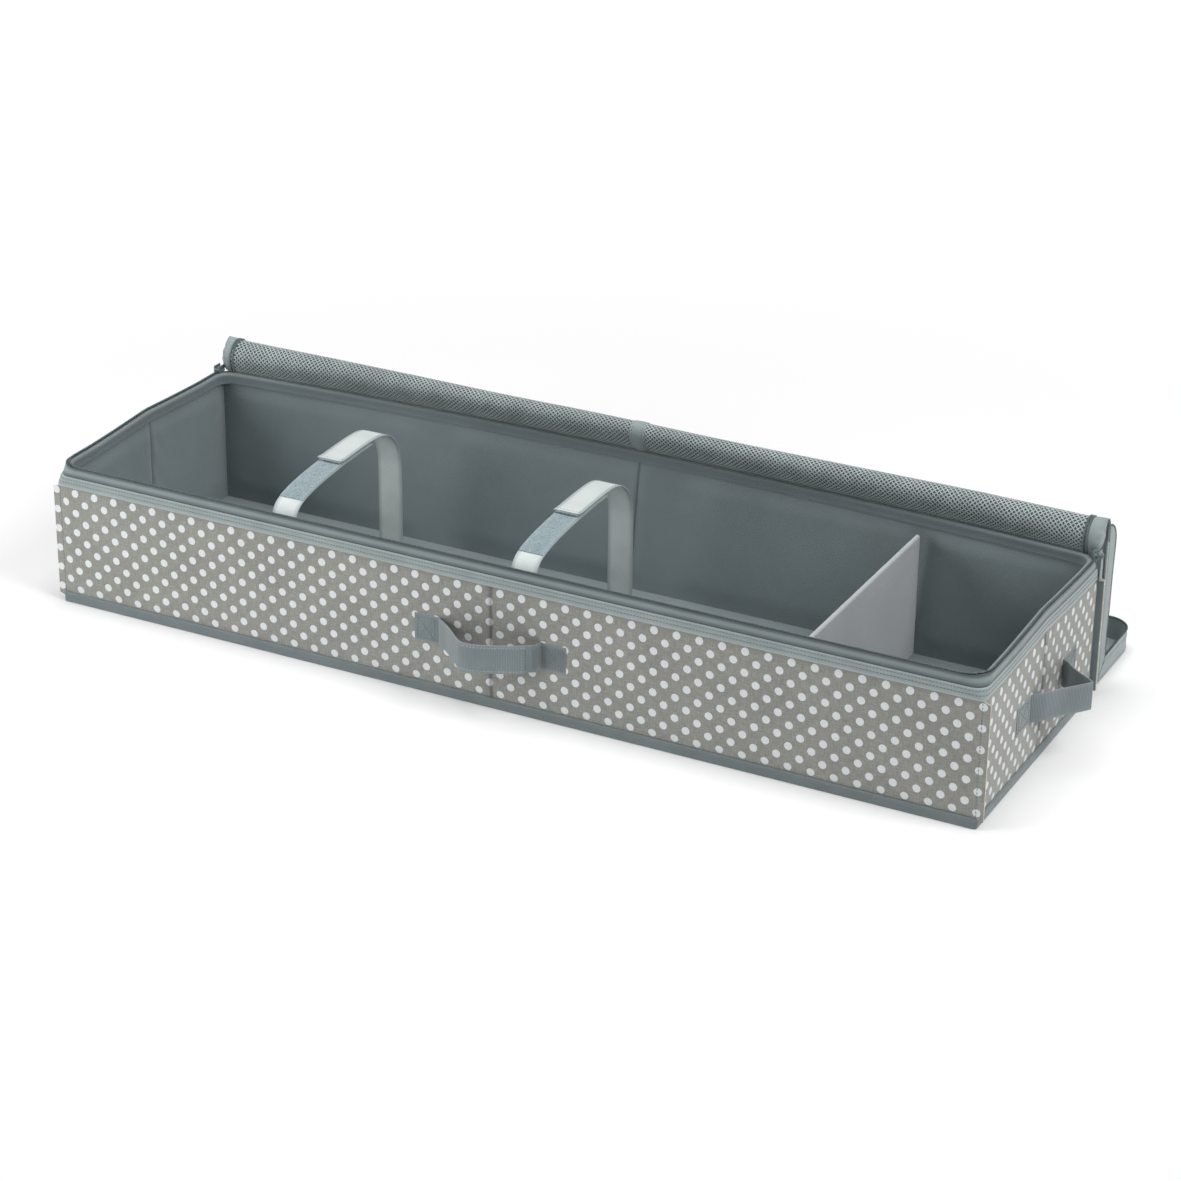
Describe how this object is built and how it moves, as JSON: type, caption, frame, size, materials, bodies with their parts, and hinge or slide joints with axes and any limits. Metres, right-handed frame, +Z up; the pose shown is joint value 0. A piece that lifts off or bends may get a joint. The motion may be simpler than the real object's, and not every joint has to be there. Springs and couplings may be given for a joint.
{
  "type": "gift wrap organizer",
  "caption": "Long low dotted fabric case with stiffened walls, a divider, hold-down straps, webbing handles and a zipped net lid folded open over its rear wall.",
  "frame": {"origin": "centre of the case's underside, on the floor", "axes": "+X along the long side towards the divider's end, -Y towards the front with its handle, +Z up"},
  "size_m": [1.0864, 0.4703, 0.1821],
  "materials": {
    "dotted_cloth": "woven cloth printed with white dots",
    "base_cloth": "plain woven cloth",
    "board": "stiffening board",
    "lining": "plain woven lining",
    "trim_tape": "woven binding tape",
    "webbing": "ribbed webbing",
    "seam": "raw folded edge",
    "zip_coil": "coil on zip tape",
    "divider_cloth": "plain woven cloth",
    "strap": "woven strap tape",
    "strap_pad": "hook and loop tape",
    "net": "open net",
    "metal": "satin paint"
  },
  "bodies": {
    "case": {"front_cover": "dotted_cloth", "rear_cover": "dotted_cloth", "left_cover": "dotted_cloth", "right_cover": "dotted_cloth", "base_cover": "base_cloth", "base_board_left": "board", "base_board_right": "board", "front_board_left": "board", "front_board_right": "board", "rear_board_left": "board", "rear_board_right": "board", "left_board_front": "board", "left_board_rear": "board", "right_board_front": "board", "right_board_rear": "board", "divider_board": "board", "lining": "lining", "base_binding": "trim_tape", "rim_tape": "trim_tape", "front_handle_left_end": "webbing", "front_handle_right_end": "webbing", "left_handle_front_end": "webbing", "left_handle_rear_end": "webbing", "right_handle_front_end": "webbing", "right_handle_rear_end": "webbing", "corner_seam_front_left": "seam", "corner_seam_front_right": "seam", "corner_seam_rear_left": "seam", "corner_seam_rear_right": "seam", "rim_zip_coil": "zip_coil", "divider_cover": "divider_cloth", "left_strap_front_anchor": "strap", "left_strap_rear_anchor": "strap", "right_strap_front_anchor": "strap", "right_strap_rear_anchor": "strap", "lid_hem_net": "net"},
    "front_handle": {"front_handle_loop": "webbing"},
    "left_handle": {"left_handle_loop": "webbing"},
    "right_handle": {"right_handle_loop": "webbing"},
    "left_strap_front": {"left_strap_front_half": "strap", "left_strap_loop_pad": "strap_pad"},
    "left_strap_rear": {"left_strap_rear_half": "strap", "left_strap_hook_pad": "strap_pad"},
    "right_strap_front": {"right_strap_front_half": "strap", "right_strap_loop_pad": "strap_pad"},
    "right_strap_rear": {"right_strap_rear_half": "strap", "right_strap_hook_pad": "strap_pad"},
    "left_slider": {"left_zip_slider": "metal"},
    "right_slider": {"right_zip_slider": "metal"},
    "left_pull": {"left_zip_pull": "metal"},
    "right_pull": {"right_zip_pull": "metal"},
    "lid_crest": {"lid_crest_net": "net"},
    "lid_back": {"lid_back_net": "net", "lid_back_ribbon": "trim_tape", "lid_back_skirt_left": "trim_tape", "lid_back_skirt_right": "trim_tape"},
    "lid_front": {"lid_front_net": "net", "lid_front_ribbon": "trim_tape", "lid_front_skirt": "trim_tape"}
  },
  "joints": [
    {"name": "front_handle_swing", "type": "hinge", "parent": "case", "child": "front_handle", "pos_m": [-0.0012, -0.151, 0.0695], "axis": [1, 0, 0], "range_deg": [-20, 20]},
    {"name": "left_handle_swing", "type": "hinge", "parent": "case", "child": "left_handle", "pos_m": [-0.501, 0.017, 0.067], "axis": [0, 1, 0], "range_deg": [-20, 20]},
    {"name": "right_handle_swing", "type": "hinge", "parent": "case", "child": "right_handle", "pos_m": [0.501, 0.017, 0.067], "axis": [0, 1, 0], "range_deg": [-20, 20]},
    {"name": "left_strap_front_fold", "type": "hinge", "parent": "case", "child": "left_strap_front", "pos_m": [-0.236, -0.1442, 0.1461], "axis": [1, 0, 0], "range_deg": [-40, 0]},
    {"name": "left_strap_rear_fold", "type": "hinge", "parent": "case", "child": "left_strap_rear", "pos_m": [-0.236, 0.06, 0.0063], "axis": [1, 0, 0], "range_deg": [-30, 0]},
    {"name": "right_strap_front_fold", "type": "hinge", "parent": "case", "child": "right_strap_front", "pos_m": [0.031, -0.1442, 0.1461], "axis": [1, 0, 0], "range_deg": [-40, 0]},
    {"name": "right_strap_rear_fold", "type": "hinge", "parent": "case", "child": "right_strap_rear", "pos_m": [0.031, 0.06, 0.0063], "axis": [1, 0, 0], "range_deg": [-30, 0]},
    {"name": "left_zip_travel", "type": "slide", "parent": "case", "child": "left_slider", "axis": [0, 1, 0], "range_m": [-0.26, 0]},
    {"name": "right_zip_travel", "type": "slide", "parent": "case", "child": "right_slider", "axis": [0, 1, 0], "range_m": [-0.26, 0]},
    {"name": "left_pull_swing", "type": "hinge", "parent": "left_slider", "child": "left_pull", "pos_m": [-0.5039, 0.144, 0.1552], "axis": [0, -1, 0], "range_deg": [-150, 0]},
    {"name": "right_pull_swing", "type": "hinge", "parent": "right_slider", "child": "right_pull", "pos_m": [0.5039, 0.144, 0.1552], "axis": [0, 1, 0], "range_deg": [-150, 0]},
    {"name": "lid_close", "type": "hinge", "parent": "case", "child": "lid_crest", "pos_m": [0, 0.156, 0.1817], "axis": [1, 0, 0], "range_deg": [0, 180]},
    {"name": "lid_unroll", "type": "hinge", "parent": "lid_crest", "child": "lid_back", "pos_m": [0, 0.174, 0.1817], "axis": [1, 0, 0], "range_deg": [0, 90]},
    {"name": "lid_unfold", "type": "hinge", "parent": "lid_back", "child": "lid_front", "pos_m": [0, 0.174, 0.0015], "axis": [1, 0, 0], "range_deg": [-90, 0]}
  ],
  "couplings": [
    {"joint": "lid_unroll", "follows": "lid_close", "ratio": 0.5},
    {"joint": "lid_unfold", "follows": "lid_close", "ratio": -0.5}
  ]
}
